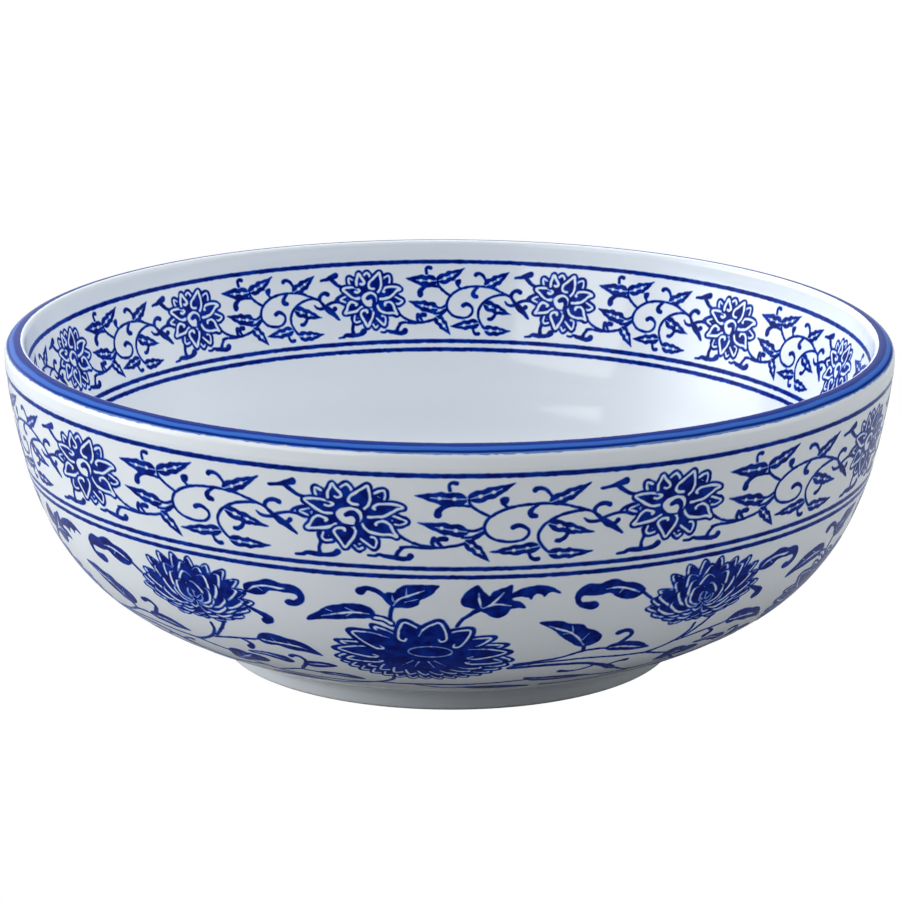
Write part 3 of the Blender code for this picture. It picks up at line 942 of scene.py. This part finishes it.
def lay_film(name, flat, triangles, sheet, wall, first_azimuth, repeats, run_low, run_high, lift, finish):
    """Repeat a flat film round the wall, between two runs, as one piece of closed film."""
    edge = np.vstack([triangles[:, [0, 1]], triangles[:, [1, 2]], triangles[:, [2, 0]]])
    codes = edge[:, 0] * len(flat) + edge[:, 1]
    rim = edge[~np.isin(codes, edge[:, 1] * len(flat) + edge[:, 0])]
    turn = 360.0 / repeats
    run = run_low + (run_high - run_low) * flat[:, 1] / sheet.height
    points, faces = [], []
    for k in range(repeats):
        azimuth = first_azimuth + turn * (k + flat[:, 0] / sheet.width)
        top = 2 * k * len(flat)
        under = top + len(flat)
        points.append(wall.place(azimuth, run, lift))
        points.append(wall.place(azimuth, run, SUNK))
        faces.extend((triangles + top).tolist())
        faces.extend((triangles[:, ::-1] + under).tolist())
        faces.extend(np.column_stack([rim[:, 0] + top, rim[:, 0] + under,
                                      rim[:, 1] + under, rim[:, 1] + top]).tolist())
    film = make_piece(name, np.vstack(points), faces, finish)
    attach(film, "root")
    print(name, len(faces), "faces")


# %% [markdown]
# ## Ink that looks printed
# A transfer's edge is never perfectly sharp. A little grain wobbles each outline by a few hundredths
# of a millimetre, and a light blur rounds the corners where strokes meet. Round every mark a pale
# bleed of cobalt has run into the glaze, which we cut as a second, wider and lower film.


# %% Grain, bleed and the two films
GRAIN = 0.05               # mm
BLEED = 0.17               # mm
INK_LIFT = 0.050 * MM
BLEED_LIFT = 0.025 * MM


def settle_ink(sheet, seed):
    """Blur the distances slightly and add grain."""
    field = np.maximum(sheet.ink, -REACH)
    for axis in (0, 1):
        field = 0.25 * np.roll(field, 1, axis) + 0.5 * field + 0.25 * np.roll(field, -1, axis)
    dice = np.random.default_rng(seed)
    coarse = dice.normal(0, 1, (sheet.rows // 6 + 2, sheet.columns // 6 + 2))
    rows = np.linspace(0, coarse.shape[0] - 1.001, sheet.rows)
    cols = np.linspace(0, coarse.shape[1] - 1.001, sheet.columns)
    across = np.array([np.interp(cols, np.arange(coarse.shape[1]), line) for line in coarse])
    grain = np.array([np.interp(rows, np.arange(coarse.shape[0]), line) for line in across.T]).T
    sheet.ink = field + GRAIN * grain


def print_band(name, sheet, wall, first_azimuth, repeats, run_low, run_high, seed, spacing=0.2, extra=0.0):
    """Lay a drawn sheet on the wall as ink and bleed."""
    settle_ink(sheet, seed)
    films = [("_bleed", -BLEED, BLEED_LIFT + extra, cobalt_bleed), ("_ink", 0.0, INK_LIFT + extra, cobalt)]
    for part, level, lift, finish in films:
        flat, triangles = cut_film(sheet, level, spacing)
        lay_film(name + part, flat, triangles, sheet, wall, first_azimuth, repeats,
                 run_low, run_high, lift, finish)


# %% [markdown]
# ## Ring lines and the blue lip
# A ring line is banded on while the pot turns, so it runs true but its edges waver. Each is a ribbon
# of film with a slow random change in both edges.


# %% Ring lines
RING_STEPS = 1440


def waver(dice, size, knots):
    """A slow random change all the way round, in metres."""
    marks = dice.normal(0, size, knots)
    return np.interp(np.arange(RING_STEPS), np.linspace(0, RING_STEPS, knots + 1), [*marks, marks[0]])


def ring_line(name, wall, run_top, run_bottom, finish, lift, seed, rough=0.035 * MM, rows=3):
    """A band of film right round the wall, between two runs, with wavering edges."""
    dice = np.random.default_rng(seed)
    azimuth = np.linspace(0, 360, RING_STEPS, endpoint=False)
    upper = run_top + waver(dice, rough * 0.8, RING_STEPS // 2) + waver(dice, rough * 0.5, 24)
    lower = run_bottom + waver(dice, rough * 1.2, RING_STEPS // 2) + waver(dice, rough, 24)
    shares = np.linspace(0, 1, rows)
    points = [wall.place(azimuth, upper * (1 - share) + lower * share, lift) for share in shares]
    points += [wall.place(azimuth, upper * (1 - share) + lower * share, SUNK) for share in shares[::-1]]
    steps = np.arange(RING_STEPS)
    after = (steps + 1) % RING_STEPS
    faces = []
    for here in range(2 * rows):
        there = (here + 1) % (2 * rows)
        faces.extend(np.column_stack([here * RING_STEPS + steps, there * RING_STEPS + steps,
                                      there * RING_STEPS + after, here * RING_STEPS + after]).tolist())
    ring = make_piece(name, np.vstack(points), faces, finish)
    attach(ring, "root")


LINE_WIDTH = 0.88 * MM
OUTER_SINGLE = outside.run_at(0.082)
OUTER_UPPER = outside.run_at(0.368)
OUTER_LOWER = outside.run_at(0.395)
INNER_SINGLE = inside.run_at(0.071)
INNER_UPPER = inside.run_at(0.330)
INNER_LOWER = inside.run_at(0.356)
ring_lines = [
    ("outer_single_line", outside, OUTER_SINGLE, 11),
    ("outer_double_line_upper", outside, OUTER_UPPER, 12),
    ("outer_double_line_lower", outside, OUTER_LOWER, 13),
    ("inner_single_line", inside, INNER_SINGLE, 14),
    ("inner_double_line_upper", inside, INNER_UPPER, 15),
    ("inner_double_line_lower", inside, INNER_LOWER, 16),
]
for line_name, wall, run, seed in ring_lines:
    top, bottom = run - LINE_WIDTH / 2, run + LINE_WIDTH / 2
    ring_line(line_name, wall, top, bottom, cobalt, INK_LIFT, seed)
    ring_line(line_name + "_bleed", wall, top - BLEED * MM, bottom + BLEED * MM, cobalt_bleed,
              BLEED_LIFT, seed)
print(len(ring_lines), "ring lines")

# %% The blue band over the lip
BAND_TOP = 0.05 * MM       # from the crest
BAND_BOTTOM_DEPTH = 0.0185
lip_wall = Wall(np.vstack([outer_roll, [(mouth_radius, lip_seat)]]), 1)
band_bottom = lip_wall.run_at(BAND_BOTTOM_DEPTH)
# the band's material paints a highlight along the roll's shoulder and a pale painted reflection at its lowest
# edge
ring_line("blue_lip_band", lip_wall, BAND_TOP, band_bottom, lip_cobalt_and_sheen, INK_LIFT, 17, 0.05 * MM, 24)
ring_line("blue_lip_band_bleed", lip_wall, BAND_TOP - 0.04 * MM, band_bottom + 0.22 * MM, cobalt_bleed,
          BLEED_LIFT, 17, 0.05 * MM, 24)

# %% Border scrolls
OUTER_REPEATS = 9
INNER_REPEATS = 12
SEAM = 19                  # where the sheet is cut: only the flower's stem crosses there


def lay_border(name, wall, run_top, run_bottom, repeats, flower_azimuth, seed):
    """Draw and lay a border between two ring lines."""
    middle = (run_top + run_bottom) / 2
    radius = np.interp(middle, wall.run, wall.path[:, 0])
    width = math.tau * radius / repeats / MM
    height = (run_bottom - run_top) / MM
    sheet = draw_border(width, height)
    cut = round(SEAM / 100 * sheet.columns)
    sheet.ink = np.roll(sheet.ink, -cut, 1)
    start = flower_azimuth + 360.0 / repeats * cut / sheet.columns
    print_band(name, sheet, wall, start, repeats, run_bottom, run_top, seed)


lay_border("outer_border", outside, OUTER_SINGLE, OUTER_UPPER, OUTER_REPEATS, -11.8, 21)
lay_border("inner_border", inside, INNER_SINGLE, INNER_UPPER, INNER_REPEATS, -12.5, 22)

# %% The field
field_parts = [("field_scroll", 0.3, draw_scroll, 31), ("field_lotus", -39.0, draw_lotus, 32),
               ("field_peony", -71.4, draw_peony, 33)]
for number, (name, first_azimuth, draw, seed) in enumerate(field_parts):
    sheet = field_sheet(first_azimuth)
    draw(sheet)
    print_band(name, sheet, outside, first_azimuth, FIELD_REPEATS, OUTER_LOWER + FIELD_DEPTH * MM,
               OUTER_LOWER, seed, 0.25, number * 0.003 * MM)

# %% [markdown]
# ## Table, studio and camera
# Glazed porcelain shows its studio: every highlight on it is a picture of a lamp. A white tent round a
# bowl gives no hard edges, only broad glows, so we paint the glows on the world itself. Each is a
# direction and a strength that falls off round it, made from a dot product and a power. One sharp
# rectangular softbox stands at the front left, because the inside of the bowl mirrors its edges.
# The table is grey to the bowl, so the foot keeps its shade, and the camera sees plain white paper.

# %% Table
TABLE = 8.0
OPENING = foot_radius - 0.6 * MM   # a hole under the foot lets light reach the underside
table_finish, nodes, links, shader = new_finish("pale_table", (0.47, 0.47, 0.47), 0.7)
weave = noise_field(nodes, links, 6.0, 4.0)
links.new(colour_ramp(nodes, links, weave, [(0.3, (0.46, 0.46, 0.46)), (0.7, (0.48, 0.48, 0.48))]),
          shader.inputs["Base Color"])
turns = np.linspace(0, math.tau, 96, endpoint=False)
circle = np.column_stack([np.cos(turns), np.sin(turns), np.zeros(96)])
table_faces = [(k, 96 + k, 96 + (k + 1) % 96, (k + 1) % 96) for k in range(96)]
table = make_piece("table", np.vstack([circle * OPENING, circle * TABLE]), table_faces, table_finish)
table.visible_camera = False

# %% The studio's glows
GLOWS = [                  # degrees to the right of the camera's side, degrees up, tightness, strength
    (90, 10, 16, 1.1), (180, 10, 16, 0.5), (225, 10, 16, 3.2), (270, 10, 16, 5.4),
    (45, 30, 12, 0.4), (90, 30, 12, 0.3), (180, 30, 12, 1.1), (225, 30, 12, 0.6), (270, 30, 12, 0.4),
    (90, 60, 8, 1.3), (180, 60, 8, 2.0), (270, 60, 8, 0.8), (0, 90, 8, 0.4), (0, -90, 2, 0.9),
]


def toward(azimuth, elevation):
    """A unit direction; azimuth 0 is the camera's side of the bowl, 90 its right."""
    turn, rise = math.radians(azimuth), math.radians(elevation)
    return (math.sin(turn) * math.cos(rise), -math.cos(turn) * math.cos(rise), math.sin(rise))


def math_node(nodes, links, operation, *values):
    """A Math node; each value is a number or another node's output."""
    node = nodes.new("ShaderNodeMath")
    node.operation = operation
    for socket, value in zip(node.inputs, values):
        if isinstance(value, (int, float)):
            socket.default_value = value
        else:
            links.new(value, socket)
    return node.outputs["Value"]


world = bpy.data.worlds.new("studio")
world.use_nodes = True
nodes, links = world.node_tree.nodes, world.node_tree.links
sky = nodes["Background"]
looking = nodes.new("ShaderNodeTexCoord").outputs["Generated"]
total = 0.0
for azimuth, elevation, tightness, strength in GLOWS:
    facing = nodes.new("ShaderNodeVectorMath")
    facing.operation = "DOT_PRODUCT"
    facing.inputs[1].default_value = toward(azimuth, elevation)
    links.new(looking, facing.inputs[0])
    front = math_node(nodes, links, "MAXIMUM", facing.outputs["Value"], 0.0)
    glow = math_node(nodes, links, "MULTIPLY", math_node(nodes, links, "POWER", front, tightness), strength)
    total = math_node(nodes, links, "ADD", glow, total)
links.new(total, sky.inputs["Strength"])
sky.inputs["Color"].default_value = (0.97, 1.0, 1.02, 1)
paper = nodes.new("ShaderNodeBackground")
paper.inputs["Color"].default_value = (1, 1, 1, 1)
paper.inputs["Strength"].default_value = 1.0
seen = nodes.new("ShaderNodeMixShader")
links.new(nodes.new("ShaderNodeLightPath").outputs["Is Camera Ray"], seen.inputs["Fac"])
links.new(sky.outputs["Background"], seen.inputs[1])
links.new(paper.outputs["Background"], seen.inputs[2])
links.new(seen.outputs["Shader"], nodes["World Output"].inputs["Surface"])
bpy.context.scene.world = world
bpy.context.scene.view_settings.view_transform = "Standard"
print(len(GLOWS), "glows")

# %% The softbox
softbox = bpy.data.lights.new("front_left_softbox", "AREA")
softbox.shape = "RECTANGLE"
softbox.size, softbox.size_y = 0.68, 0.42
softbox.energy = 2.3
lamp = bpy.data.objects.new("front_left_softbox", softbox)
lamp.location = 1.2 * Vector(toward(-39, 26))
lamp.rotation_euler = (-lamp.location).to_track_quat("-Z", "Y").to_euler()
bpy.context.collection.objects.link(lamp)

# %% Camera
CAMERA_DISTANCE = 9.0 * mouth_radius
CAMERA_RISE = math.radians(15.46)
CAMERA_ROLL = math.radians(0.28)
aim = Vector((0, 0, crest_height - 0.30 * mouth_radius))
camera_data = bpy.data.cameras.new("camera")
camera_data.sensor_width = 36.0
camera_data.lens = 157.9
camera_data.shift_x = 0.0015
camera_data.shift_y = 0.0095
camera = bpy.data.objects.new("camera", camera_data)
camera.location = aim + CAMERA_DISTANCE * Vector((0, -math.cos(CAMERA_RISE), math.sin(CAMERA_RISE)))
level = Matrix.Rotation(math.pi / 2 - CAMERA_RISE, 3, "X")
camera.rotation_euler = (level @ Matrix.Rotation(CAMERA_ROLL, 3, "Z")).to_euler()
bpy.context.collection.objects.link(camera)
bpy.context.scene.camera = camera
